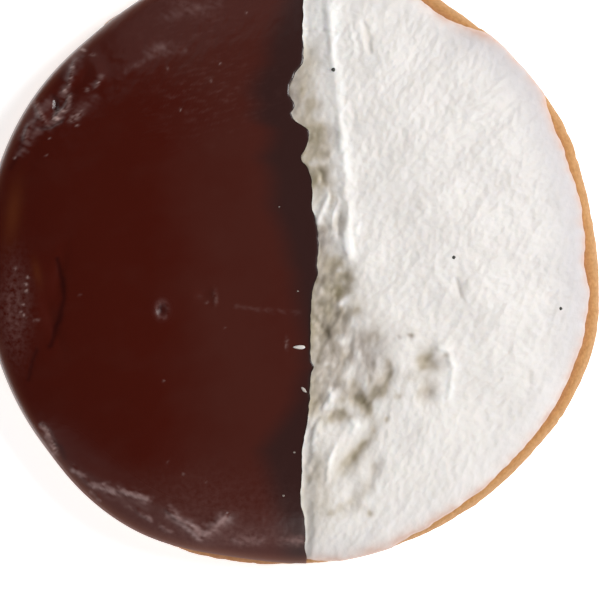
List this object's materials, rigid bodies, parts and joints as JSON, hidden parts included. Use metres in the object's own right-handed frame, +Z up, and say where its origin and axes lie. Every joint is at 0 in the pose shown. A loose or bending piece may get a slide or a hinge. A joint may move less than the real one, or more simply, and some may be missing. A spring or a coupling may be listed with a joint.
{
  "type": "half moon cookie",
  "caption": "Round, gently domed cake-like cookie on a flat underside, covered half in dark chocolate icing and half in thick white frosting that meet along a wavy seam.",
  "frame": {"origin": "the middle of the flat underside", "axes": "+Z up; +Y along the seam between the icings; +X across the seam, from the chocolate half to the white half"},
  "size_m": [0.1028, 0.1015, 0.0186],
  "materials": {
    "baked_cookie": "dry golden-brown baked crumb",
    "chocolate": "smooth glossy dark chocolate icing",
    "white_frosting": "soft satin white frosting with a fine grain"
  },
  "bodies": {
    "root": {"cookie": "baked_cookie", "chocolate_icing": "chocolate", "white_frosting": "white_frosting"}
  },
  "joints": []
}
